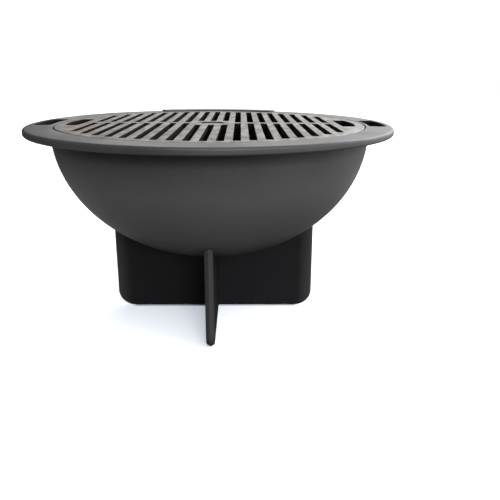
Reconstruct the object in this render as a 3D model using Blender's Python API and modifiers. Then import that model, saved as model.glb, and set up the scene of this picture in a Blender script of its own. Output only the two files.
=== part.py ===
"""A cast-iron fire pit: a wide-rimmed bowl and its lift-out grate, standing on two crossed plates.

Metres, +Z up. The origin is on the ground under the bowl's centre. The grate's slots run along Y.
"""

import math

import bmesh
import bpy

NAME = "fire_pit_with_grate"

# The bowl and its rim
BOWL_RADIUS = 0.261
RIM_WIDTH = 0.039
RIM_TOP = 0.340
RIM_THICKNESS = 0.0105
RIM_TOP_ROUND = 0.0042
RIM_BOTTOM_ROUND = 0.0029
BOWL_DEPTH = 0.212
BOWL_WALL = 0.006
NECK_FILLET = 0.004

# The ledge inside the rim that the grate sits on
RECESS_WALL = 0.005
LEDGE_WIDTH = 0.0105
LEDGE_EDGE = 0.005
LEDGE_SLOPE_DEPTH = 0.025
RECESS_ROUND = 0.001

# The two hand holes through the rim, and the plain raised band at its back
HAND_HOLE_WIDTH = 0.0255
HAND_HOLE_LENGTH = 0.098
HAND_HOLE_CORNER = 0.008
HAND_HOLE_TO_BOWL = 0.001
BAND_WIDTH = 0.026
BAND_LENGTH = 0.244
BAND_HEIGHT = 0.003
BAND_CORNER = 0.006
BAND_TO_EDGE = 0.010

# The grate
GRATE_THICKNESS = 0.010
GRATE_GAP = 0.002
SLOT_PITCH = 0.0216
SLOT_WIDTH = 0.0105
SLOT_CORNER = 0.002
GRATE_RING = 0.0125
CROSS_BAR = 0.016
HUB_RADIUS = 0.0335
HUB_POCKET_RADIUS = 0.0205
HUB_POCKET_DEPTH = 0.002
FINGER_HOLE_WIDTH = 0.025
FINGER_HOLE_LENGTH = 0.105
FINGER_HOLE_CORNER = 0.005
FINGER_HOLE_TO_EDGE = 0.0155

# The two crossed plates of the base
PLATE_WIDTH = 0.364
PLATE_LEAN = 0.0113
PLATE_THICKNESS = 0.013
PLATE_CORNER = 0.030
PLATE_TIP = 0.002
PLATE_DRAFT = 0.003
PLATE_LAND = 0.0015
NOTCH_CLEARANCE = 0.0005

# The gap between castings that rest on each other
SEAT = 0.0003

# How many straight pieces stand for each round shape, and how near two points are made one
TURNED_STEPS = 72
HUB_STEPS = 32
CURVE_STEPS = 12
EDGE_STEPS = 4
SMALL_ROUND_STEPS = 2
HOLE_CORNER_STEPS = 3
HOLE_SIDE_STEPS = 6
BAND_SIDE_STEPS = 12
PLATE_CORNER_STEPS = 8
PLATE_TIP_STEPS = 5
HALVINGS = 60
WELD = 0.00001

# Worked out from the sizes above
RIM_RADIUS = BOWL_RADIUS + RIM_WIDTH
BOWL_TOP = RIM_TOP - RIM_THICKNESS
BOWL_BOTTOM = BOWL_TOP - BOWL_DEPTH
RECESS_DEPTH = GRATE_THICKNESS + SEAT
RECESS_RADIUS = BOWL_RADIUS - RECESS_WALL
LEDGE_INNER = RECESS_RADIUS - LEDGE_WIDTH
GRATE_RADIUS = RECESS_RADIUS - GRATE_GAP
FINGER_HOLE_OUTER = GRATE_RADIUS - FINGER_HOLE_TO_EDGE
FINGER_HOLE_INNER = FINGER_HOLE_OUTER - FINGER_HOLE_WIDTH
SLOTS_EACH_SIDE = math.floor((FINGER_HOLE_INNER + SLOT_WIDTH / 2) / SLOT_PITCH) - 1


def clear_scene():
    for obj in list(bpy.data.objects):
        bpy.data.objects.remove(obj, do_unlink=True)


def new_collection(name):
    collection = bpy.data.collections.new(name)
    bpy.context.scene.collection.children.link(collection)
    return collection


def iron(name, colour, roughness, metallic):
    material = bpy.data.materials.new(name)
    material.use_nodes = True
    shader = material.node_tree.nodes["Principled BSDF"]
    shader.inputs["Base Color"].default_value = (*colour, 1.0)
    shader.inputs["Roughness"].default_value = roughness
    shader.inputs["Metallic"].default_value = metallic
    return material


def add_object(name, data, collection, parent=None, material=None):
    obj = bpy.data.objects.new(name, data)
    collection.objects.link(obj)
    obj.parent = parent
    if material:
        data.materials.append(material)
    return obj


def add_boolean(obj, other, operation):
    """Cuts or joins another object, which is then hidden as a guide."""
    other.hide_render = True
    other.display_type = "WIRE"
    modifier = obj.modifiers.new(f"{operation.lower()}_{other.name}", "BOOLEAN")
    modifier.operation = operation
    modifier.object = other
    modifier.solver = "EXACT"


def arc(centre, radius, start, end, steps):
    """Points on a circle from one angle to another, in degrees."""
    points = []
    for i in range(steps + 1):
        angle = math.radians(start + (end - start) * i / steps)
        points.append((centre[0] + radius * math.cos(angle), centre[1] + radius * math.sin(angle)))
    return points


def rounded_rectangle(length, width, corner, corner_steps, side_steps=1):
    """A closed outline about the origin, its long sides along the first axis and split into steps."""
    x = length / 2 - corner
    y = width / 2 - corner
    points = []
    for centre, start in (((x, y), 0), ((-x, y), 90), ((-x, -y), 180), ((x, -y), 270)):
        points += arc(centre, corner, start, start + 90, corner_steps)
        if start in (0, 180):
            step = -2 * centre[0] / side_steps
            side = centre[1] + math.copysign(corner, centre[1])
            points += [(centre[0] + step * i, side) for i in range(1, side_steps)]
    return points


def bent_round_axis(outline, radius, facing):
    """Bends an outline round the Z axis: its first axis becomes an arc of this radius about a facing angle."""
    points = []
    for along, out in outline:
        angle = math.radians(facing) + along / radius
        points.append(((radius + out) * math.cos(angle), (radius + out) * math.sin(angle)))
    return points


def extruded(name, outlines, bottom, top, collection, parent):
    """A straight-sided solid on each outline, between two heights, as one mesh object."""
    curve = bpy.data.curves.new(name, "CURVE")
    curve.dimensions = "2D"
    curve.fill_mode = "BOTH"
    curve.extrude = (top - bottom) / 2
    for outline in outlines:
        spline = curve.splines.new("POLY")
        spline.points.add(len(outline) - 1)
        for point, (x, y) in zip(spline.points, outline):
            point.co = (x, y, 0, 1)
        spline.use_cyclic_u = True
    guide = add_object(f"{name}_curve", curve, collection)
    bpy.context.view_layer.update()
    evaluated = guide.evaluated_get(bpy.context.evaluated_depsgraph_get())
    mesh = bpy.data.meshes.new_from_object(evaluated)
    bpy.data.objects.remove(guide, do_unlink=True)
    shape = bmesh.new()
    shape.from_mesh(mesh)
    bmesh.ops.remove_doubles(shape, verts=shape.verts, dist=WELD)
    bmesh.ops.recalc_face_normals(shape, faces=shape.faces)
    shape.to_mesh(mesh)
    shape.free()
    obj = add_object(name, mesh, collection, parent)
    obj.location.z = (bottom + top) / 2
    return obj


def cylinder(name, radius, bottom, top, steps, collection, parent, material=None):
    mesh = bpy.data.meshes.new(name)
    shape = bmesh.new()
    bmesh.ops.create_cone(
        shape, cap_ends=True, segments=steps, radius1=radius, radius2=radius, depth=top - bottom
    )
    shape.to_mesh(mesh)
    shape.free()
    obj = add_object(name, mesh, collection, parent, material)
    obj.location.z = (bottom + top) / 2
    return obj


def turned(name, profile, collection, parent, material):
    """A profile at +X turned round the Z axis."""
    mesh = bpy.data.meshes.new(name)
    edges = [(i, i + 1) for i in range(len(profile) - 1)]
    mesh.from_pydata([(r, 0, z) for r, z in profile], edges, [])
    obj = add_object(name, mesh, collection, parent, material)
    screw = obj.modifiers.new("turn", "SCREW")
    screw.axis = "Z"
    screw.steps = TURNED_STEPS
    screw.render_steps = TURNED_STEPS
    screw.use_merge_vertices = True
    screw.merge_threshold = WELD
    screw.use_smooth_shade = True
    return obj


def bowl_outside(angle, grow=0.0):
    """A point on the bowl's outer curve, this many degrees up from its lowest point."""
    turn = math.radians(angle)
    across = (BOWL_RADIUS + grow) * math.sin(turn)
    return across, BOWL_TOP - (BOWL_DEPTH + grow) * math.cos(turn)


def bowl_profile():
    """From the middle of the bowl's inside, up and over the rim, to the middle of its underside."""
    inner_radius = BOWL_RADIUS - BOWL_WALL
    inner_depth = BOWL_DEPTH - BOWL_WALL
    inner_end = math.degrees(math.acos(LEDGE_SLOPE_DEPTH / inner_depth))
    points = []
    for i in range(CURVE_STEPS + 1):
        turn = math.radians(inner_end * i / CURVE_STEPS)
        points.append((inner_radius * math.sin(turn), BOWL_TOP - inner_depth * math.cos(turn)))
    ledge = RIM_TOP - RECESS_DEPTH
    points.append((LEDGE_INNER, ledge - LEDGE_EDGE))
    points.append((LEDGE_INNER, ledge))
    points.append((RECESS_RADIUS, ledge))
    lip = (RECESS_RADIUS + RECESS_ROUND, RIM_TOP - RECESS_ROUND)
    points += arc(lip, RECESS_ROUND, 180, 90, SMALL_ROUND_STEPS)
    upper_edge = (RIM_RADIUS - RIM_TOP_ROUND, RIM_TOP - RIM_TOP_ROUND)
    points += arc(upper_edge, RIM_TOP_ROUND, 90, 0, EDGE_STEPS)
    lower_edge = (RIM_RADIUS - RIM_BOTTOM_ROUND, BOWL_TOP + RIM_BOTTOM_ROUND)
    points += arc(lower_edge, RIM_BOTTOM_ROUND, 0, -90, EDGE_STEPS - 1)
    neck = (BOWL_RADIUS + NECK_FILLET, BOWL_TOP - NECK_FILLET)
    points += arc(neck, NECK_FILLET, 90, 180, SMALL_ROUND_STEPS)
    start = math.degrees(math.acos(NECK_FILLET / BOWL_DEPTH))
    points += [bowl_outside(start * i / CURVE_STEPS) for i in reversed(range(CURVE_STEPS))]
    return points


def make_bowl(collection, cutters, parent, material):
    bowl = turned("fire_bowl", bowl_profile(), collection, parent, material)
    hole_middle = BOWL_RADIUS + HAND_HOLE_TO_BOWL + HAND_HOLE_WIDTH / 2
    hole = rounded_rectangle(
        HAND_HOLE_LENGTH, HAND_HOLE_WIDTH, HAND_HOLE_CORNER, HOLE_CORNER_STEPS, HOLE_SIDE_STEPS
    )
    for side, facing in (("left", 180), ("right", 0)):
        outline = bent_round_axis(hole, hole_middle, facing)
        low = BOWL_TOP - 2 * NECK_FILLET
        cutter = extruded(f"hand_hole_{side}", [outline], low, RIM_TOP + NECK_FILLET, cutters, parent)
        add_boolean(bowl, cutter, "DIFFERENCE")
    band_middle = RIM_RADIUS - BAND_TO_EDGE - BAND_WIDTH / 2
    band = rounded_rectangle(
        BAND_LENGTH, BAND_WIDTH, BAND_CORNER, HOLE_CORNER_STEPS, BAND_SIDE_STEPS
    )
    outline = bent_round_axis(band, band_middle, 90)
    raised = extruded("raised_band", [outline], RIM_TOP - BAND_HEIGHT, RIM_TOP + BAND_HEIGHT, cutters, parent)
    add_boolean(bowl, raised, "UNION")
    return bowl


def slot_ends(across):
    """How far from the grate's middle line the slot at this distance starts and ends."""
    corner = abs(across) + SLOT_WIDTH / 2
    outer = math.sqrt((GRATE_RADIUS - GRATE_RING) ** 2 - corner**2)
    inner = HUB_RADIUS if abs(across) < HUB_RADIUS else CROSS_BAR / 2
    return inner, outer


def grate_holes():
    """The outlines of the two rows of slots and of the two finger holes."""
    outlines = []
    for i in range(-SLOTS_EACH_SIDE, SLOTS_EACH_SIDE + 1):
        across = i * SLOT_PITCH
        inner, outer = slot_ends(across)
        slot = rounded_rectangle(outer - inner, SLOT_WIDTH, SLOT_CORNER, SMALL_ROUND_STEPS)
        middle = (inner + outer) / 2
        for side in (-1, 1):
            outlines.append([(across + y, side * middle + x) for x, y in slot])
    hole = rounded_rectangle(
        FINGER_HOLE_LENGTH, FINGER_HOLE_WIDTH, FINGER_HOLE_CORNER, SMALL_ROUND_STEPS, HOLE_SIDE_STEPS
    )
    for side in (-1, 1):
        outline = []
        for along, out in hole:
            share = out / FINGER_HOLE_WIDTH + 0.5
            reach = math.sqrt(FINGER_HOLE_OUTER**2 - along**2)
            outline.append((side * (FINGER_HOLE_INNER + share * (reach - FINGER_HOLE_INNER)), along))
        outlines.append(outline)
    return outlines


def make_grate(collection, cutters, parent, material):
    bottom = RIM_TOP - GRATE_THICKNESS
    grate = cylinder("grate", GRATE_RADIUS, bottom, RIM_TOP, TURNED_STEPS, collection, parent, material)
    past = GRATE_THICKNESS / 2
    holes = extruded("grate_holes", grate_holes(), bottom - past, RIM_TOP + past, cutters, parent)
    add_boolean(grate, holes, "DIFFERENCE")
    floor = RIM_TOP - HUB_POCKET_DEPTH
    pocket = cylinder("hub_pocket", HUB_POCKET_RADIUS, floor, RIM_TOP + past, HUB_STEPS, cutters, parent)
    add_boolean(grate, pocket, "DIFFERENCE")
    return grate


def tip_centre(inset):
    """The centre of the round at a plate's top corner, between its side and the curve that cradles the bowl."""
    low, high = 0.0, 90.0
    for _ in range(HALVINGS):
        angle = (low + high) / 2
        x, z = bowl_outside(angle, SEAT + PLATE_TIP)
        if x < PLATE_WIDTH / 2 - PLATE_LEAN * z - PLATE_TIP - inset:
            low = angle
        else:
            high = angle
    return angle, (x, z)


def plate_outline(inset, opens_up):
    """One plate's outline in its own plane, its sides and foot drawn in by inset. Its notch opens up or down."""
    notch = PLATE_THICKNESS / 2 + NOTCH_CLEARANCE
    half_height = (BOWL_BOTTOM - SEAT) / 2
    reach = PLATE_WIDTH / 2 - PLATE_CORNER
    half = []
    if not opens_up:
        half += [(notch, half_height + SEAT / 2), (notch, inset)]
    half += arc((reach, PLATE_CORNER), PLATE_CORNER - inset, -90, 0, PLATE_CORNER_STEPS)
    tip_angle, centre = tip_centre(inset)
    half += arc(centre, PLATE_TIP, 0, 90 + tip_angle, PLATE_TIP_STEPS)
    notch_angle = math.degrees(math.asin(notch / (BOWL_RADIUS + SEAT)))
    last_angle = notch_angle if opens_up else 0
    for i in range(1, CURVE_STEPS + 1):
        angle = tip_angle + (last_angle - tip_angle) * i / CURVE_STEPS
        half.append(bowl_outside(angle, SEAT))
    if opens_up:
        half.append((notch, half_height - SEAT / 2))
        return half + [(-x, z) for x, z in reversed(half)]
    return half + [(-x, z) for x, z in reversed(half[:-1])]


def make_plate(name, opens_up, collection, parent, material):
    """A plate in the XZ plane whose sides and foot slope from a narrow land in the middle to both faces."""
    mesh = bpy.data.meshes.new(name)
    shape = bmesh.new()
    rings = []
    for y, inset in (
        (-PLATE_THICKNESS / 2, PLATE_DRAFT),
        (-PLATE_LAND / 2, 0.0),
        (PLATE_LAND / 2, 0.0),
        (PLATE_THICKNESS / 2, PLATE_DRAFT),
    ):
        rings.append([shape.verts.new((x, y, z)) for x, z in plate_outline(inset, opens_up)])
    for near, far in zip(rings, rings[1:]):
        for i in range(len(near)):
            shape.faces.new((near[i - 1], near[i], far[i], far[i - 1]))
    shape.faces.new(rings[0])
    shape.faces.new(rings[-1])
    bmesh.ops.recalc_face_normals(shape, faces=shape.faces)
    shape.to_mesh(mesh)
    shape.free()
    return add_object(name, mesh, collection, parent, material)


def main():
    clear_scene()
    parts = new_collection(NAME)
    cutters = new_collection(f"{NAME}_cutters")
    bowl_iron = iron("bowl_iron", (0.052, 0.052, 0.054), 0.55, 0.3)
    grate_iron = iron("grate_iron", (0.30, 0.275, 0.25), 0.6, 0.4)
    base_iron = iron("base_iron", (0.022, 0.022, 0.024), 0.55, 0.3)
    ground = add_object("ground_centre", None, parts)
    make_plate("lower_base_plate", True, parts, ground, base_iron)
    upper = make_plate("upper_base_plate", False, parts, ground, base_iron)
    upper.rotation_euler.z = math.radians(90)
    make_bowl(parts, cutters, ground, bowl_iron)
    make_grate(parts, cutters, ground, grate_iron)


main()
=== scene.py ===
"""The looks of the cast-iron fire pit: four finely made castings that stand for the plain CAD solids.

Metres, +Z up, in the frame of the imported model. Each casting keeps its solid's outer size and its fits, and
has the rounded edges, the drafted walls and the surfaces that the solid lacks.
"""

import math

import bmesh
import bpy
from mathutils import Matrix, Vector


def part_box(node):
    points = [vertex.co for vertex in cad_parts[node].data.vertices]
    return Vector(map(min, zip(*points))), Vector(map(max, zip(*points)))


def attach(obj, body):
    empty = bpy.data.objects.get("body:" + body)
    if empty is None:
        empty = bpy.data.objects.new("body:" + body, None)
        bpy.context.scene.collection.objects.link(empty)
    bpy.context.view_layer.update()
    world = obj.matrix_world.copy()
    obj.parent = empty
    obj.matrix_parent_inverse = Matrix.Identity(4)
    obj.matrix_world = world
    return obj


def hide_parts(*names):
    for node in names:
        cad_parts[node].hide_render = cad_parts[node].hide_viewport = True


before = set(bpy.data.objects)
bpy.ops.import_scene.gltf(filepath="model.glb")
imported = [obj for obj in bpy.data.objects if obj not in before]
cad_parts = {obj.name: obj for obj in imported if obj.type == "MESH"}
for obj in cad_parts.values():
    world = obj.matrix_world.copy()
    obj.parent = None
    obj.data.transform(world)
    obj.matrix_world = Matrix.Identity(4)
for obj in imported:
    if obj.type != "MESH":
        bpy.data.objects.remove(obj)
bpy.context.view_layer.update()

# What the frame gives
BOWL_LOW, BOWL_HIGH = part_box("fire_bowl")
GRATE_LOW, GRATE_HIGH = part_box("grate")
PLATE_LOW, PLATE_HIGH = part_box("lower_base_plate")
RIM_RADIUS = BOWL_HIGH.x
RIM_TOP = GRATE_HIGH.z
BAND_TOP = BOWL_HIGH.z
GRATE_RADIUS = GRATE_HIGH.x
GRATE_BOTTOM = GRATE_LOW.z
PLATE_WIDTH = PLATE_HIGH.x - PLATE_LOW.x
PLATE_THICKNESS = PLATE_HIGH.y - PLATE_LOW.y

# The bowl and its rim
RIM_THICKNESS = 0.0105
RIM_TOP_ROUND = 0.0042
RIM_BOTTOM_ROUND = 0.0029
BOWL_RADIUS = 0.261
BOWL_WALL = 0.006
NECK_FILLET = 0.004
RECESS_RADIUS = 0.256
RECESS_DEPTH = 0.0103
RECESS_ROUND = 0.0016
LEDGE_INNER = 0.2455
LEDGE_EDGE = 0.005
LEDGE_SLOPE_DEPTH = 0.025
RIM_TOP_RINGS = 6
BOWL_TOP = RIM_TOP - RIM_THICKNESS
BOWL_DEPTH = BOWL_TOP - BOWL_LOW.z

# The hand holes and the raised band
HAND_HOLE_MIDDLE = 0.27475
HAND_HOLE_WIDTH = 0.0255
HAND_HOLE_LENGTH = 0.098
HAND_HOLE_CORNER = 0.008
HAND_HOLE_ROUND = 0.0026
HAND_HOLE_LOW_ROUND = 0.0013
BAND_MIDDLE = 0.277
BAND_WIDTH = 0.026
BAND_LENGTH = 0.244
BAND_CORNER = 0.006
BAND_ROUND = 0.001

# How far from the axis the rounded outer edge of a hand hole ends
HAND_HOLE_OUTER = HAND_HOLE_MIDDLE + HAND_HOLE_WIDTH / 2 + HAND_HOLE_ROUND

# Soot, which on the walls of slots and holes is also painted shade: how far below a top face it starts, how
# far down it is black, and from how level a face stays bare
SOOT_AND_SHADE_START = 0.0003
SOOT_AND_SHADE_DEPTH = 0.0035
LEVEL = 0.8

# The grate
SLOTS_EACH_SIDE = 9
SLOT_PITCH = 0.0216
SLOT_WIDTH = 0.0105
SLOT_CORNER = 0.002
SLOT_ROUND = 0.0005
SLOT_DRAFT = 0.0006
GRATE_RING = 0.0125
GRATE_ROUND = 0.0014
CROSS_BAR = 0.016
HUB_RADIUS = 0.0335
POCKET_RADIUS = 0.0205
POCKET_DEPTH = 0.002
POCKET_ROUND = 0.0006
POCKET_SIDES = 96
FINGER_HOLE_WIDTH = 0.025
FINGER_HOLE_LENGTH = 0.105
FINGER_HOLE_CORNER = 0.005
FINGER_HOLE_TO_EDGE = 0.0155
FINGER_HOLE_ROUND = 0.001

# The base plates
PLATE_LEAN = 0.0113
PLATE_CORNER = 0.030
PLATE_TIP = 0.002
PLATE_DRAFT = 0.003
PLATE_LAND = 0.0015
PLATE_ROUND = 0.0012
NOTCH_CLEARANCE = 0.0005
SEAT = 0.0003

# How far the rounded edge of a plate's face draws in, as a share of a full round
PLATE_ROUND_REACH = 0.8

# How finely the castings are made
TURNED_STEPS = 288
BOWL_STEPS = 40
CRADLE_STEPS = 48
ROUND_STEPS = 5
CORNER_STEPS = 8
WIDE_CORNER_STEPS = 24
HALVINGS = 60
SHARP_ANGLE = math.radians(40)

# The camera, from the same corner as the photograph was taken
CAMERA_PLACE = (0.04806, -0.89560, 0.42391)
CAMERA_PITCH = 0.3369
CAMERA_YAW = -0.0196
CAMERA_ROLL = 0.00677
LENS = 36.855
SENSOR = 36.0
NEAREST_SEEN = 0.02
FARTHEST_SEEN = 60.0

# The studio's air: how strongly it lights the object from the left and the right, and how white it looks
AIR_LEFT = 0.04
AIR_RIGHT = 0.4
AIR_WHITE = 1.02

# The sky lights: name, degrees to the right of the front, degrees up, how many degrees wide, strength
SKY_LIGHTS = (
    ("key", 20.0, 56.0, 50.0, 2.2),
    ("front", 12.0, 21.0, 22.0, 1.65),
    ("rear", 165.0, 40.0, 60.0, 0.7),
)

# The softboxes: name, place, the point it faces, size, watts
SOFTBOXES = (
    ("side", (2.7, 1.0, 0.9), (0.0, 0.0, 0.3), (2.0, 1.6), 34.0),
    ("back", (1.0, 3.4, 1.1), (0.0, 0.0, 0.34), (6.0, 2.0), 55.0),
    ("back_right", (2.3, 2.5, 2.2), (0.0, 0.0, 0.1), (1.8, 1.4), 70.0),
    ("front_right", (2.5, -1.6, 0.9), (0.0, 0.0, 0.25), (1.6, 1.4), 40.0),
)

# The floor. It throws back less light away from the middle, and least of all on the dull patch in front
FLOOR_RADIUS = 12.0
FLOOR_SIDES = 96
FLOOR_CLOUDS = (3.0, 2.0, 0.5)
FLOOR_ROUGHNESS = 0.9
MIDDLE = (0.0, 0.0, 0.0)
NEAR_BOUNCE = 0.35
FAR_BOUNCE = 0.1
FAR_REACH = (0.5, 1.6)
DULL_BOUNCE = 0.04
DULL_PATCH = (0.36, -0.22, 0.0)
DULL_REACH = (0.25, 0.75)

# Its glow is painted light that only the camera sees. It is off under the lower plate's foot, as a painted
# contact shadow: where it comes back along the foot and beside it
FLOOR_GLOW = 0.47
GLOW_COLOUR = (0.82, 0.88, 1.0, 1.0)
CONTACT_SHADOW_LENGTH = (0.150, 0.154)
CONTACT_SHADOW_WIDTH = (0.0065, 0.008)


# ---------------------------------------------------------------- outlines


def arc(centre, radius, start, end, steps):
    """Points on a circle from one angle to another, in degrees."""
    points = []
    for i in range(steps + 1):
        angle = math.radians(start + (end - start) * i / steps)
        across = centre[0] + radius * math.cos(angle)
        up = centre[1] + radius * math.sin(angle)
        points.append((across, up))
    return points


def circle(radius, steps):
    return arc((0, 0), radius, 0, 360, steps)[:-1]


def rounded_rectangle(length, width, corner, corner_steps, side_steps):
    """A closed outline about the origin, with its long sides along the first axis, split into steps."""
    x = length / 2 - corner
    y = width / 2 - corner
    points = []
    for centre, start in (((x, y), 0), ((-x, y), 90), ((-x, -y), 180), ((x, -y), 270)):
        points += arc(centre, corner, start, start + 90, corner_steps)
        if start in (0, 180):
            step = -2 * centre[0] / side_steps
            side = centre[1] + math.copysign(corner, centre[1])
            points += [(centre[0] + step * i, side) for i in range(1, side_steps)]
    return points


def bent_round_axis(outline, radius, facing):
    """Bends an outline round the Z axis, so that its long sides follow a circle of about this radius."""
    points = []
    for along, out in outline:
        angle = math.radians(facing) + along / radius
        points.append(((radius + out) * math.cos(angle), (radius + out) * math.sin(angle)))
    return points


def anticlockwise(outline):
    area = sum(a[0] * b[1] - b[0] * a[1] for a, b in zip(outline, outline[1:] + outline[:1]))
    return outline if area > 0 else outline[::-1]


def grown(outline, distance):
    """An anticlockwise outline moved outwards by this distance, or inwards where it is negative."""
    points = [Vector(p) for p in outline]
    moved = []
    for i, point in enumerate(points):
        before = (point - points[i - 1]).normalized()
        after = (points[(i + 1) % len(points)] - point).normalized()
        first = Vector((before.y, -before.x))
        second = Vector((after.y, -after.x))
        moved.append(point + (first + second) * distance / (1 + first.dot(second)))
    return [(p.x, p.y) for p in moved]


def rounded_wall(low, high, low_round, high_round, draft=0.0):
    """Up a wall whose two edges are rounded: pairs of how far the metal draws back, and the height.

    The draft makes it draw back further towards the bottom.
    """
    wall = arc((low_round, low + low_round), low_round, 270, 180, ROUND_STEPS)
    wall += arc((high_round, high - high_round), high_round, 180, 90, ROUND_STEPS)
    return [(back + draft * (high - height) / (high - low), height) for back, height in wall]


# ---------------------------------------------------------------- meshes


def ring(shape, outline, height):
    return [shape.verts.new((x, y, height)) for x, y in outline]


def bridge(shape, near, far):
    for i in range(len(near)):
        shape.faces.new((near[i - 1], near[i], far[i], far[i - 1]))


def edges_round(shape, verts):
    return [shape.edges.get((verts[i - 1], verts[i])) for i in range(len(verts))]


def fill(shape, *loops):
    """Fills the flat space inside the first loop and outside the others."""
    edges = [edge for loop in loops for edge in edges_round(shape, loop)]
    bmesh.ops.triangle_fill(shape, use_beauty=True, use_dissolve=False, edges=edges)


def wall_of(shape, outline, wall, sign):
    """Makes a rounded wall and gives its lowest and its highest ring.

    The sign is -1 on an outer edge and 1 round a hole.
    """
    rings = [ring(shape, grown(outline, sign * back), height) for back, height in wall]
    for near, far in zip(rings, rings[1:]):
        bridge(shape, near, far)
    return rings[0], rings[-1]


def add_piece(name, shape):
    bmesh.ops.recalc_face_normals(shape, faces=shape.faces)
    mesh = bpy.data.meshes.new(name)
    shape.to_mesh(mesh)
    shape.free()
    obj = bpy.data.objects.new(name, mesh)
    bpy.context.scene.collection.objects.link(obj)
    return obj


def shaded(obj):
    """Smooth round its rounded edges and flat on its flat faces."""
    obj.data.shade_smooth()
    obj.data.set_sharp_from_angle(angle=SHARP_ANGLE)
    modifier = obj.modifiers.new("flat_faces_stay_flat", "WEIGHTED_NORMAL")
    modifier.keep_sharp = True
    return obj


def turned(name, profile):
    """A closed surface: the profile's points turned round the Z axis, its two ends on the axis."""
    shape = bmesh.new()
    first = shape.verts.new((0, 0, profile[0][1]))
    rings = [ring(shape, circle(radius, TURNED_STEPS), height) for radius, height in profile[1:-1]]
    last = shape.verts.new((0, 0, profile[-1][1]))
    for near, far in zip(rings, rings[1:]):
        bridge(shape, near, far)
    for i in range(TURNED_STEPS):
        shape.faces.new((first, rings[0][i - 1], rings[0][i]))
        shape.faces.new((last, rings[-1][i], rings[-1][i - 1]))
    return add_piece(name, shape)


def lofted(name, outline, wall, sign):
    """A solid whose side is a rounded wall."""
    shape = bmesh.new()
    lowest, highest = wall_of(shape, outline, wall, sign)
    fill(shape, lowest)
    fill(shape, highest)
    return add_piece(name, shape)


def combined(obj, other, operation):
    """Joins or cuts with another object, which is then removed."""
    modifier = obj.modifiers.new(operation.lower(), "BOOLEAN")
    modifier.operation = operation
    modifier.object = other
    modifier.solver = "EXACT"
    bpy.context.view_layer.update()
    evaluated = obj.evaluated_get(bpy.context.evaluated_depsgraph_get())
    mesh = bpy.data.meshes.new_from_object(evaluated)
    obj.modifiers.remove(modifier)
    obj.data = mesh
    bpy.data.objects.remove(other, do_unlink=True)


# ---------------------------------------------------------------- the bowl


def bowl_outside(angle, grow=0.0):
    """A point on the bowl's outer curve, this many degrees up from its lowest point."""
    turn = math.radians(angle)
    across = (BOWL_RADIUS + grow) * math.sin(turn)
    return across, BOWL_TOP - (BOWL_DEPTH + grow) * math.cos(turn)


def bowl_profile():
    """From the middle of the bowl's inside, up and over the rim, to the middle of its underside."""
    inner_radius = BOWL_RADIUS - BOWL_WALL
    inner_depth = BOWL_DEPTH - BOWL_WALL
    inner_end = math.degrees(math.acos(LEDGE_SLOPE_DEPTH / inner_depth))
    points = []
    for i in range(BOWL_STEPS + 1):
        turn = math.radians(inner_end * i / BOWL_STEPS)
        points.append((inner_radius * math.sin(turn), BOWL_TOP - inner_depth * math.cos(turn)))
    ledge = RIM_TOP - RECESS_DEPTH
    points.append((LEDGE_INNER, ledge - LEDGE_EDGE))
    points.append((LEDGE_INNER, ledge))
    points.append((RECESS_RADIUS, ledge))
    flat_start = RECESS_RADIUS + RECESS_ROUND
    flat_end = RIM_RADIUS - RIM_TOP_ROUND
    points += arc((flat_start, RIM_TOP - RECESS_ROUND), RECESS_ROUND, 180, 90, ROUND_STEPS)
    for i in range(1, RIM_TOP_RINGS):
        points.append((flat_start + (flat_end - flat_start) * i / RIM_TOP_RINGS, RIM_TOP))
    points += arc((flat_end, RIM_TOP - RIM_TOP_ROUND), RIM_TOP_ROUND, 90, 0, 2 * ROUND_STEPS)
    low_centre = (RIM_RADIUS - RIM_BOTTOM_ROUND, BOWL_TOP + RIM_BOTTOM_ROUND)
    points += arc(low_centre, RIM_BOTTOM_ROUND, 0, -90, 2 * ROUND_STEPS)
    neck_centre = (BOWL_RADIUS + NECK_FILLET, BOWL_TOP - NECK_FILLET)
    points += arc(neck_centre, NECK_FILLET, 90, 180, 2 * ROUND_STEPS)
    start = math.degrees(math.acos(NECK_FILLET / BOWL_DEPTH))
    for i in range(1, BOWL_STEPS + 1):
        points.append(bowl_outside(start * (BOWL_STEPS - i) / BOWL_STEPS))
    return points


def hand_hole_cutter(facing):
    """The hole's shape. It widens like a trumpet at the rim's two faces, which rounds the hole's edges."""
    side_steps = 24
    outline = rounded_rectangle(
        HAND_HOLE_LENGTH, HAND_HOLE_WIDTH, HAND_HOLE_CORNER, CORNER_STEPS, side_steps
    )
    outline = anticlockwise(bent_round_axis(outline, HAND_HOLE_MIDDLE, facing))
    past = 2 * NECK_FILLET
    wall = [(HAND_HOLE_LOW_ROUND, BOWL_TOP - past)]
    wall += rounded_wall(BOWL_TOP, RIM_TOP, HAND_HOLE_LOW_ROUND, HAND_HOLE_ROUND)
    wall += [(HAND_HOLE_ROUND, RIM_TOP + past)]
    return lofted("hand_hole", outline, wall, 1)


def raised_band():
    """The plain band at the back of the rim, its lower part sunk in the rim."""
    side_steps = 60
    outline = rounded_rectangle(BAND_LENGTH, BAND_WIDTH, BAND_CORNER, CORNER_STEPS, side_steps)
    outline = anticlockwise(bent_round_axis(outline, BAND_MIDDLE, 90))
    wall = rounded_wall(RIM_TOP - RIM_TOP_ROUND, BAND_TOP, BAND_ROUND, BAND_ROUND)
    return lofted("band", outline, wall, -1)


def gets_soot_and_shade_in_bowl(face):
    """Whether a face is on the inside of the bowl, or on a wall of a hand hole. Both are sooty, and the hand
    holes' walls also carry painted shade.
    """
    radius = face.center.xy.length
    height = face.center.z
    if height > BOWL_TOP + SOOT_AND_SHADE_START:
        past_recess = RECESS_RADIUS + RECESS_ROUND < radius
        return past_recess and radius < HAND_HOLE_OUTER and height < RIM_TOP - SOOT_AND_SHADE_START
    out_from_middle = Vector((face.center.x, face.center.y, height - BOWL_TOP))
    return radius < BOWL_RADIUS and face.normal.dot(out_from_middle) < 0


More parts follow.
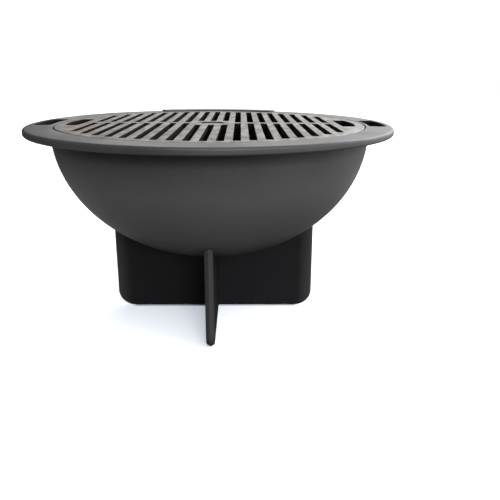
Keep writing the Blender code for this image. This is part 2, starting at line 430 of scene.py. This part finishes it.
def make_bowl():
    bowl = turned("fire_bowl_casting", bowl_profile())
    combined(bowl, hand_hole_cutter(0), "DIFFERENCE")
    combined(bowl, hand_hole_cutter(180), "DIFFERENCE")
    combined(bowl, raised_band(), "UNION")
    return shaded(bowl)


# ---------------------------------------------------------------- the grate


def slot_outlines():
    """The two rows of slots, which run along Y on both sides of the bar across the grate."""
    corner_steps = 5
    side_steps = 4
    outlines = []
    for i in range(-SLOTS_EACH_SIDE, SLOTS_EACH_SIDE + 1):
        across = i * SLOT_PITCH
        corner = abs(across) + SLOT_WIDTH / 2
        outer = math.sqrt((GRATE_RADIUS - GRATE_RING) ** 2 - corner**2)
        inner = HUB_RADIUS if abs(across) < HUB_RADIUS else CROSS_BAR / 2
        slot = rounded_rectangle(outer - inner, SLOT_WIDTH, SLOT_CORNER, corner_steps, side_steps)
        for side in (-1, 1):
            middle = side * (inner + outer) / 2
            outlines.append(anticlockwise([(across + y, middle + x) for x, y in slot]))
    return outlines


def finger_hole_outlines():
    """The two finger holes: straight towards the slots, and following the grate's edge on the outside."""
    corner_steps = 6
    side_steps = 16
    outlines = []
    outer_radius = GRATE_RADIUS - FINGER_HOLE_TO_EDGE
    straight_side = outer_radius - FINGER_HOLE_WIDTH
    hole = rounded_rectangle(
        FINGER_HOLE_LENGTH, FINGER_HOLE_WIDTH, FINGER_HOLE_CORNER, corner_steps, side_steps
    )
    for side in (-1, 1):
        outline = []
        for along, out in hole:
            share = out / FINGER_HOLE_WIDTH + 0.5
            reach = math.sqrt(outer_radius**2 - along**2)
            outline.append((side * (straight_side + share * (reach - straight_side)), along))
        outlines.append(anticlockwise(outline))
    return outlines


def gets_soot_and_shade_on_grate(face):
    """Whether a face of the grate is underneath, or on a wall of a slot, a hole or the hub's pocket. These
    are sooty, and the walls also carry painted shade.
    """
    inside_the_edge = face.center.xy.length < GRATE_RADIUS - GRATE_RING / 2
    below_the_top = face.center.z < RIM_TOP - SOOT_AND_SHADE_START
    return inside_the_edge and below_the_top and face.normal.z < LEVEL


def make_grate():
    shape = bmesh.new()
    edge = rounded_wall(GRATE_BOTTOM, RIM_TOP, GRATE_ROUND, GRATE_ROUND)
    slot_wall = rounded_wall(GRATE_BOTTOM, RIM_TOP, SLOT_ROUND, SLOT_ROUND, SLOT_DRAFT)
    finger_wall = rounded_wall(GRATE_BOTTOM, RIM_TOP, FINGER_HOLE_ROUND, FINGER_HOLE_ROUND)
    walls = [wall_of(shape, circle(GRATE_RADIUS, TURNED_STEPS), edge, -1)]
    walls += [wall_of(shape, outline, slot_wall, 1) for outline in slot_outlines()]
    walls += [wall_of(shape, outline, finger_wall, 1) for outline in finger_hole_outlines()]
    pocket_wall = rounded_wall(RIM_TOP - POCKET_DEPTH, RIM_TOP, 0.0, POCKET_ROUND)[ROUND_STEPS:]
    pocket_floor, pocket_lip = wall_of(shape, circle(POCKET_RADIUS, POCKET_SIDES), pocket_wall, 1)
    fill(shape, pocket_floor)
    fill(shape, *[lowest for lowest, _ in walls])
    fill(shape, *[highest for _, highest in walls], pocket_lip)
    return shaded(add_piece("grate_casting", shape))


# ---------------------------------------------------------------- the base


def tip_centre(inset):
    """The angle and the centre of the round at a plate's top corner, between its side and its cradle."""
    low, high = 0.0, 90.0
    for _ in range(HALVINGS):
        angle = (low + high) / 2
        x, z = bowl_outside(angle, SEAT + PLATE_TIP)
        if x < PLATE_WIDTH / 2 - PLATE_LEAN * z - PLATE_TIP - inset:
            low = angle
        else:
            high = angle
    return angle, (x, z)


def plate_outline(inset, opens_up):
    """A plate's outline in its own plane, its sides and foot drawn in. Its notch opens up or down."""
    notch = PLATE_THICKNESS / 2 + NOTCH_CLEARANCE
    half_height = (BOWL_LOW.z - SEAT) / 2
    reach = PLATE_WIDTH / 2 - PLATE_CORNER
    half = []
    if not opens_up:
        half += [(notch, half_height + SEAT / 2), (notch, inset)]
    half += arc((reach, PLATE_CORNER), PLATE_CORNER - inset, -90, 0, WIDE_CORNER_STEPS)
    tip_angle, centre = tip_centre(inset)
    half += arc(centre, PLATE_TIP, 0, 90 + tip_angle, CORNER_STEPS)
    notch_angle = math.degrees(math.asin(notch / (BOWL_RADIUS + SEAT)))
    last_angle = notch_angle if opens_up else 0
    for i in range(1, CRADLE_STEPS + 1):
        angle = tip_angle + (last_angle - tip_angle) * i / CRADLE_STEPS
        half.append(bowl_outside(angle, SEAT))
    if opens_up:
        half.append((notch, half_height - SEAT / 2))
        return half + [(-x, z) for x, z in reversed(half)]
    return half + [(-x, z) for x, z in reversed(half[:-1])]


def plate_section():
    """From one face of a plate to the other, over its edge: pairs of the inset and the place across it.

    Each half has a rounded edge and a drafted side, and a narrow land lies between them.
    """
    slope = math.atan2(PLATE_DRAFT, (PLATE_THICKNESS - PLATE_LAND) / 2)
    start = PLATE_THICKNESS / 2 - PLATE_ROUND
    half = []
    for i in range(ROUND_STEPS + 1):
        turn = slope + (math.pi / 2 - slope) * (1 - i / ROUND_STEPS)
        back = PLATE_DRAFT + PLATE_ROUND * (1 - math.cos(turn)) * PLATE_ROUND_REACH
        half.append((back, -start - PLATE_ROUND * math.sin(turn)))
    half.append((0.0, -PLATE_LAND / 2))
    return half + [(inset, -place) for inset, place in reversed(half)]


def make_plate(name, opens_up, turn):
    """A base plate, made along X and turned about Z."""
    shape = bmesh.new()
    rings = []
    for inset, place in plate_section():
        outline = plate_outline(inset, opens_up)
        rings.append([shape.verts.new((x, place, z)) for x, z in outline])
    for near, far in zip(rings, rings[1:]):
        bridge(shape, near, far)
    fill(shape, rings[0])
    fill(shape, rings[-1])
    bmesh.ops.rotate(shape, verts=shape.verts, matrix=Matrix.Rotation(turn, 3, "Z"))
    return shaded(add_piece(name, shape))


# ---------------------------------------------------------------- materials


def add_node(tree, kind, inputs=None, **settings):
    """A shader node with its settings, its inputs each a number, a colour or another node's output."""
    made = tree.nodes.new(kind)
    for name, value in settings.items():
        setattr(made, name, value)
    for name, value in (inputs or {}).items():
        if isinstance(value, bpy.types.NodeSocket):
            tree.links.new(value, made.inputs[name])
        else:
            made.inputs[name].default_value = value
    return made


def noise(tree, where, scale, detail, roughness):
    """A cloudy pattern, its values from 0 to 1."""
    inputs = {"Vector": where, "Scale": scale, "Detail": detail, "Roughness": roughness}
    return add_node(tree, "ShaderNodeTexNoise", inputs).outputs["Fac"]


def spread(tree, value, low, high, to_low=0.0, to_high=1.0):
    """The value's range from low to high stretched to another range, and held at its ends."""
    inputs = {"Value": value, "From Min": low, "From Max": high, "To Min": to_low, "To Max": to_high}
    return add_node(tree, "ShaderNodeMapRange", inputs).outputs["Result"]


def maths(tree, operation, first, second):
    made = add_node(tree, "ShaderNodeMath", {0: first, 1: second}, operation=operation)
    return made.outputs[0]


def distance(tree, first, second):
    made = add_node(tree, "ShaderNodeVectorMath", {0: first, 1: second}, operation="DISTANCE")
    return made.outputs["Value"]


def blended(tree, share, first, second):
    """A colour between two colours."""
    made = add_node(tree, "ShaderNodeMix", data_type="RGBA")
    for index, value in ((0, share), (6, first), (7, second)):
        if isinstance(value, bpy.types.NodeSocket):
            tree.links.new(value, made.inputs[index])
        else:
            made.inputs[index].default_value = value
    return made.outputs[2]


def bumped(tree, height, depth, normal=None):
    """The surface's direction once a pattern has been pressed into it this deep."""
    inputs = {"Height": height, "Distance": depth, "Strength": 1.0}
    if normal:
        inputs["Normal"] = normal
    return add_node(tree, "ShaderNodeBump", inputs).outputs["Normal"]


def grey(level, tint=(1.0, 1.0, 1.0)):
    return (level * tint[0], level * tint[1], level * tint[2], 1.0)


# Tints, and the colours made with them
BLUISH = (0.92, 0.96, 1.12)
VIOLET = (1.0, 0.98, 1.03)
BROWNISH = (1.0, 0.86, 0.74)
BOWL_DARK = grey(0.027, VIOLET)
BOWL_LIGHT = grey(0.047, VIOLET)
BOWL_BELLY_PALE = (0.085, 0.083, 0.086, 1.0)
# Painted shade: the bowl's colour just under the rim, where the rim's shadow falls
BOWL_NECK_SHADE = grey(0.012)
RIM_RUBBED = (0.12, 0.118, 0.125, 1.0)
BASE_DARK = grey(0.0055, BLUISH)
BASE_LIGHT = grey(0.0085, BLUISH)
# Worn paint, and painted light on the plates' outer ends
BASE_WORN_AND_LIT = grey(0.036)
GRATE_DARK = grey(0.110, BROWNISH)
GRATE_LIGHT = grey(0.26, (1.0, 0.96, 0.93))
GRATE_WORN = grey(0.075, BROWNISH)
GRATE_GRIT = grey(0.07, (1.0, 0.9, 0.8))
RUST = (0.23, 0.13, 0.10, 1.0)
# Sooty black, which also stands as painted shade deep in the slots and holes
SOOT_AND_SHADE_BLACK = grey(0.002)
SOOT_AND_SHADE_GREY = grey(0.006, (1.0, 0.9, 0.8))
# Painted light: the lit brown of the walls' top edges
LIT_WALL_TOP_DARK = grey(0.011, (1.0, 0.68, 0.45))
LIT_WALL_TOP_LIGHT = grey(0.021, (1.0, 0.75, 0.55))
FLOOR_DARK = grey(0.88)
FLOOR_PALE = grey(0.92, (0.98, 0.99, 1.0))

# Patterns, for noise(): how many patches there are to a metre, how detailed their edges are and how rough
CLOUDS = (9.0, 5.0, 0.6)
WAVES = (14.0, 2.0, 0.5)
STAINS = (38.0, 5.0, 0.66)
SOOT_PATCHES = (45.0, 4.0, 0.6)
BRUSHED_PATCHES = (70.0, 5.0, 0.62)
BLOTCHES = (130.0, 4.0, 0.6)
CRUMBS = (300.0, 5.0, 0.6)
PAINT_SAND = (420.0, 6.0, 0.6)
BARE_SAND = (520.0, 6.0, 0.65)
FINE_SAND = (900.0, 3.0, 0.5)

# How deep the bumps are
WAVE_DEPTH = 0.0012
PAINT_SAND_DEPTH = 0.00025
FINE_SAND_DEPTH = 0.00008
STAIN_DEPTH = 0.0008
BARE_SAND_DEPTH = 0.0003
CRUMB_DEPTH = 0.0004

# Shares of a colour, for spread(): the value where the share starts to change, the value where it stops,
# and the share at each. MOST is where nearly all of a pattern's values lie
MOST = (0.3, 0.7)
PAINT_CLOUD_SHARE = (*MOST, 0.1, 0.7)
PAINT_SAND_SHARE = (0.4, 0.7, 0.0, 0.3)
BLOTCH_SHARE = (0.4, 0.6)
# Painted light: the grate's colour is lighter towards its right
GRATE_PAINTED_LIGHT_SHARE = (-GRATE_RADIUS, GRATE_RADIUS, 0.0, 0.5)
GRATE_CLOUD_SHARE = (*MOST, 0.0, 0.5)
GRATE_WORN_SHARE = (0.4, 0.6, 0.0, 0.65)
RUST_SHARE = (0.55, 0.72, 0.0, 0.6)
GRIT_SHARE = (0.35, 0.7, 0.0, 0.4)
LIT_WALL_TOP_SHARE = (0.35, 0.65)

# Where a paint is paler, rubbed, worn, or carries painted shade and painted light, for spread(): by height,
# or by distance from the Z axis
BELLY_PALE_ABOVE = (0.125, 0.19)
BELLY_PALE_BELOW = (0.325, 0.265, 0.0, 0.65)
# Painted shade just under the rim
NECK_SHADE_ABOVE = (BOWL_TOP - 0.023, BOWL_TOP - 0.013, 0.0, 0.55)
NECK_SHADE_BELOW = (BOWL_TOP + 0.0006, BOWL_TOP, 0.0, 1.0)
RUBBED_RING = (RECESS_RADIUS + 0.010, RECESS_RADIUS + 0.001, 0.0, 0.6)
RUBBED_ABOVE = (RIM_TOP - 0.002, RIM_TOP - 0.0005)
# Worn and painted lighter towards the plates' outer ends
WORN_AND_LIT_RING = (0.156, 0.180, 0.0, 0.95)
# Painted light on the walls' top edges, turning into painted shade further down
LIT_WALL_TOP_ABOVE = (RIM_TOP - SOOT_AND_SHADE_DEPTH, RIM_TOP - SOOT_AND_SHADE_START)

# How rough each surface is, from its smoothest to its roughest, how much it shines and how metallic it is
BOWL_ROUGHNESS = (0.42, 0.56)
BOWL_SHINE = 0.35
BASE_ROUGHNESS = (0.5, 0.62)
BASE_SHINE = 0.16
GRATE_ROUGHNESS = (0.44, 0.68)
GRATE_SHINE = 0.5
GRATE_METAL = 0.35
SOOT_ROUGHNESS = (0.85, 1.0)
SOOT_SHINE = 0.08

# The grate's patterns are drawn out along Y, the way it was brushed
BRUSHED = (1.0, 0.45, 1.0)


def new_material(name):
    """An empty material, its tree, its shader and the coordinates of the piece it is on."""
    material = bpy.data.materials.new(name)
    material.use_nodes = True
    tree = material.node_tree
    where = add_node(tree, "ShaderNodeTexCoord").outputs["Object"]
    return material, tree, tree.nodes["Principled BSDF"], where


def connect(tree, shader, colour, roughness, normal, shine):
    shader.inputs["Specular IOR Level"].default_value = shine
    tree.links.new(colour, shader.inputs["Base Color"])
    tree.links.new(roughness, shader.inputs["Roughness"])
    tree.links.new(normal, shader.inputs["Normal"])


def painted_iron(name, dark, light, rough, shine):
    """Sand-cast iron under a thin coat of matt black paint. The colour that it gives can be changed."""
    material, tree, shader, where = new_material(name)
    cloud = noise(tree, where, *CLOUDS)
    sand = noise(tree, where, *PAINT_SAND)
    fine = noise(tree, where, *FINE_SAND)
    waves = noise(tree, where, *WAVES)
    cloud_share = spread(tree, cloud, *PAINT_CLOUD_SHARE)
    sand_share = spread(tree, sand, *PAINT_SAND_SHARE)
    colour = blended(tree, maths(tree, "ADD", cloud_share, sand_share), dark, light)
    roughness = spread(tree, cloud, *MOST, *rough)
    low = bumped(tree, waves, WAVE_DEPTH)
    high = bumped(tree, sand, PAINT_SAND_DEPTH, low)
    normal = bumped(tree, fine, FINE_SAND_DEPTH, high)
    connect(tree, shader, colour, roughness, normal, shine)
    return material, tree, shader, where, colour


def height_of(tree, where):
    return add_node(tree, "ShaderNodeSeparateXYZ", {"Vector": where}).outputs["Z"]


def scaled(tree, where, factors):
    made = add_node(tree, "ShaderNodeVectorMath", {0: where, 1: factors}, operation="MULTIPLY")
    return made.outputs[0]


def from_axis(tree, where):
    """How far a point is from the Z axis."""
    return distance(tree, scaled(tree, where, (1.0, 1.0, 0.0)), MIDDLE)


def bowl_paint():
    """Paler round the bowl's belly than at its bottom and top, darkened with painted shade under the rim, and
    rubbed in light blotches beside the grate.
    """
    material, tree, shader, where, colour = painted_iron(
        "bowl_paint", BOWL_DARK, BOWL_LIGHT, BOWL_ROUGHNESS, BOWL_SHINE
    )
    height = height_of(tree, where)
    # Paler round the belly, darker towards the bottom and towards the rim
    above = spread(tree, height, *BELLY_PALE_ABOVE)
    below = spread(tree, height, *BELLY_PALE_BELOW)
    colour = blended(tree, maths(tree, "MULTIPLY", above, below), colour, BOWL_BELLY_PALE)
    # Painted shade: darker just under the rim, where the rim's shadow falls on the bowl
    above = spread(tree, height, *NECK_SHADE_ABOVE)
    below = spread(tree, height, *NECK_SHADE_BELOW)
    colour = blended(tree, maths(tree, "MULTIPLY", above, below), colour, BOWL_NECK_SHADE)
    beside_grate = spread(tree, from_axis(tree, where), *RUBBED_RING)
    on_top = maths(tree, "MULTIPLY", beside_grate, spread(tree, height, *RUBBED_ABOVE))
    blotch = spread(tree, noise(tree, where, *BLOTCHES), *BLOTCH_SHARE)
    colour = blended(tree, maths(tree, "MULTIPLY", on_top, blotch), colour, RIM_RUBBED)
    tree.links.new(colour, shader.inputs["Base Color"])
    return material


def base_paint():
    """The plates' paint, lighter towards their outer edges: partly wear, and partly painted light on the ends
    that stand out from the shade under the bowl.
    """
    material, tree, shader, where, colour = painted_iron(
        "base_paint", BASE_DARK, BASE_LIGHT, BASE_ROUGHNESS, BASE_SHINE
    )
    # Partly wear, partly painted light: the outer ends lighter than the middle in the bowl's shade
    worn = spread(tree, from_axis(tree, where), *WORN_AND_LIT_RING)
    tree.links.new(blended(tree, worn, colour, BASE_WORN_AND_LIT), shader.inputs["Base Color"])
    return material


def bare_iron(name):
    """The grate's bare top, brushed by use, with patches of rust, and painted lighter towards its right as
    painted light from that side.
    """
    material, tree, shader, where = new_material(name)
    along = scaled(tree, where, BRUSHED)
    across = add_node(tree, "ShaderNodeSeparateXYZ", {"Vector": where}).outputs["X"]
    cloud = noise(tree, where, *CLOUDS)
    patch = noise(tree, along, *BRUSHED_PATCHES)
    stain = noise(tree, along, *STAINS)
    sand = noise(tree, where, *BARE_SAND)
    # Painted light: lighter towards the right, where the light falls
    painted_light_share = spread(tree, across, *GRATE_PAINTED_LIGHT_SHARE)
    cloud_share = spread(tree, cloud, *GRATE_CLOUD_SHARE)
    clean = blended(tree, maths(tree, "ADD", painted_light_share, cloud_share), GRATE_DARK, GRATE_LIGHT)
    worn = blended(tree, spread(tree, patch, *GRATE_WORN_SHARE), clean, GRATE_WORN)
    rusty = blended(tree, spread(tree, stain, *RUST_SHARE), worn, RUST)
    colour = blended(tree, spread(tree, sand, *GRIT_SHARE), rusty, GRATE_GRIT)
    roughness = spread(tree, patch, *MOST, *GRATE_ROUGHNESS)
    coarse = bumped(tree, stain, STAIN_DEPTH)
    normal = bumped(tree, sand, BARE_SAND_DEPTH, coarse)
    connect(tree, shader, colour, roughness, normal, GRATE_SHINE)
    shader.inputs["Metallic"].default_value = GRATE_METAL
    return material


def soot_and_painted_shade(name):
    """Sooty black deep in the slots and holes, brown near the rim's top. The brown is painted light where the
    walls' top edges catch the light, and the black below is also painted shade.
    """
    material, tree, shader, where = new_material(name)
    height = height_of(tree, where)
    crumbs = noise(tree, where, *CRUMBS)
    patch = noise(tree, where, *SOOT_PATCHES)
    lit_wall_top = blended(tree, spread(tree, patch, *LIT_WALL_TOP_SHARE), LIT_WALL_TOP_DARK, LIT_WALL_TOP_LIGHT)
    black = blended(tree, crumbs, SOOT_AND_SHADE_BLACK, SOOT_AND_SHADE_GREY)
    # Painted light and shade: brown at the walls' top, black further down
    colour = blended(tree, spread(tree, height, *LIT_WALL_TOP_ABOVE), black, lit_wall_top)
    roughness = spread(tree, crumbs, *MOST, *SOOT_ROUGHNESS)
    normal = bumped(tree, crumbs, CRUMB_DEPTH)
    connect(tree, shader, colour, roughness, normal, SOOT_SHINE)
    return material


def paint(obj, material, second=None, is_second=None):
    """Gives a piece its material, and a second one on the faces that are chosen."""
    obj.data.materials.clear()
    obj.data.materials.append(material)
    if second:
        obj.data.materials.append(second)
        for face in obj.data.polygons:
            face.material_index = int(is_second(face))


# ---------------------------------------------------------------- the studio


def add_floor():
    """A pale floor that runs past the edge of any view. The camera sees it paler than the object does, with a
    painted contact shadow along the lower plate's foot.
    """
    shape = bmesh.new()
    bmesh.ops.create_circle(shape, cap_ends=True, segments=FLOOR_SIDES, radius=FLOOR_RADIUS)
    floor = add_piece("studio_floor", shape)
    material, tree, shader, where = new_material("studio_floor")
    seen = add_node(tree, "ShaderNodeLightPath").outputs["Is Camera Ray"]
    shade = noise(tree, where, *FLOOR_CLOUDS)
    pale = blended(tree, shade, FLOOR_DARK, FLOOR_PALE)
    far = spread(tree, distance(tree, where, MIDDLE), *FAR_REACH)
    bounce = blended(tree, far, grey(NEAR_BOUNCE), grey(FAR_BOUNCE))
    off_patch = spread(tree, distance(tree, where, DULL_PATCH), *DULL_REACH)
    bounce = blended(tree, off_patch, grey(DULL_BOUNCE), bounce)
    tree.links.new(blended(tree, seen, bounce, pale), shader.inputs["Base Color"])
    parts = add_node(tree, "ShaderNodeSeparateXYZ", {"Vector": where})
    # Painted contact shadow: no glow along the lower plate's foot
    past_foot = spread(tree, maths(tree, "ABSOLUTE", parts.outputs["X"], 0.0), *CONTACT_SHADOW_LENGTH)
    beside_foot = spread(tree, maths(tree, "ABSOLUTE", parts.outputs["Y"], 0.0), *CONTACT_SHADOW_WIDTH)
    glow = maths(tree, "MULTIPLY", maths(tree, "MAXIMUM", past_foot, beside_foot), seen)
    tree.links.new(maths(tree, "MULTIPLY", glow, FLOOR_GLOW), shader.inputs["Emission Strength"])
    shader.inputs["Emission Color"].default_value = GLOW_COLOUR
    shader.inputs["Roughness"].default_value = FLOOR_ROUGHNESS
    shader.inputs["Specular IOR Level"].default_value = 0.0
    floor.data.materials.append(material)


def add_softbox(name, place, target, size, power):
    """A rectangular lamp that faces a point and that the camera doesn't see."""
    light = bpy.data.lights.new(name, "AREA")
    light.shape = "RECTANGLE"
    light.size, light.size_y = size
    light.energy = power
    obj = bpy.data.objects.new(name, light)
    obj.location = place
    obj.rotation_euler = (Vector(target) - Vector(place)).to_track_quat("-Z", "Y").to_euler()
    obj.visible_camera = False
    bpy.context.scene.collection.objects.link(obj)


def add_sky_light(name, azimuth, elevation, width, strength):
    """A wide, far light. Its azimuth counts to the right from the front, and its angles are in degrees."""
    light = bpy.data.lights.new(name, "SUN")
    light.energy = strength
    light.angle = math.radians(width)
    obj = bpy.data.objects.new(name, light)
    obj.rotation_euler = (math.radians(90 - elevation), 0, math.radians(azimuth))
    bpy.context.scene.collection.objects.link(obj)


def add_world():
    """Light from all round, dimmer on the left than on the right, and dimmer than the white that the camera
    sees behind the object.
    """
    world = bpy.data.worlds.new("studio_air")
    world.use_nodes = True
    tree = world.node_tree
    seen = add_node(tree, "ShaderNodeLightPath").outputs["Is Camera Ray"]
    towards = add_node(tree, "ShaderNodeTexCoord").outputs["Generated"]
    across = add_node(tree, "ShaderNodeSeparateXYZ", {"Vector": towards}).outputs["X"]
    light = spread(tree, across, -1.0, 1.0, AIR_LEFT, AIR_RIGHT)
    strength = spread(tree, seen, 0.0, 1.0, light, AIR_WHITE)
    background = tree.nodes["Background"]
    background.inputs["Color"].default_value = (1.0, 1.0, 1.0, 1.0)
    tree.links.new(strength, background.inputs["Strength"])
    bpy.context.scene.world = world


def add_camera():
    camera = bpy.data.cameras.new("camera")
    camera.lens = LENS
    camera.sensor_width = SENSOR
    camera.clip_start = NEAREST_SEEN
    camera.clip_end = FARTHEST_SEEN
    obj = bpy.data.objects.new("camera", camera)
    level = Matrix.Rotation(math.pi / 2, 3, "X")
    pitch = Matrix.Rotation(-CAMERA_PITCH, 3, "X")
    yaw = Matrix.Rotation(CAMERA_YAW, 3, "Z")
    roll = Matrix.Rotation(CAMERA_ROLL, 3, "Z")
    turn = yaw @ pitch @ level @ roll
    obj.matrix_world = Matrix.Translation(CAMERA_PLACE) @ turn.to_4x4()
    bpy.context.scene.collection.objects.link(obj)
    bpy.context.scene.camera = obj


def make_studio():
    add_floor()
    add_world()
    for sky_light in SKY_LIGHTS:
        add_sky_light(*sky_light)
    for softbox in SOFTBOXES:
        add_softbox(*softbox)
    add_camera()


# ---------------------------------------------------------------- together


def place(obj, node, body):
    """Puts a casting in the place of a CAD node and on its body."""
    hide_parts(node)
    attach(obj, body)


def make_castings():
    plate_paint = base_paint()
    # Sooty black that is also painted shade on the walls of slots and holes
    soot_and_shade_material = soot_and_painted_shade("soot_and_painted_shade")
    bowl = make_bowl()
    paint(bowl, bowl_paint(), soot_and_shade_material, gets_soot_and_shade_in_bowl)
    place(bowl, "fire_bowl", "bowl")
    grate = make_grate()
    paint(grate, bare_iron("grate_bare"), soot_and_shade_material, gets_soot_and_shade_on_grate)
    place(grate, "grate", "grate")
    lower_plate = make_plate("lower_plate_casting", True, 0.0)
    paint(lower_plate, plate_paint)
    place(lower_plate, "lower_base_plate", "base_lower")
    upper_plate = make_plate("upper_plate_casting", False, math.pi / 2)
    paint(upper_plate, plate_paint)
    place(upper_plate, "upper_base_plate", "base_upper")


bpy.context.scene.view_settings.view_transform = "Standard"
make_castings()
make_studio()
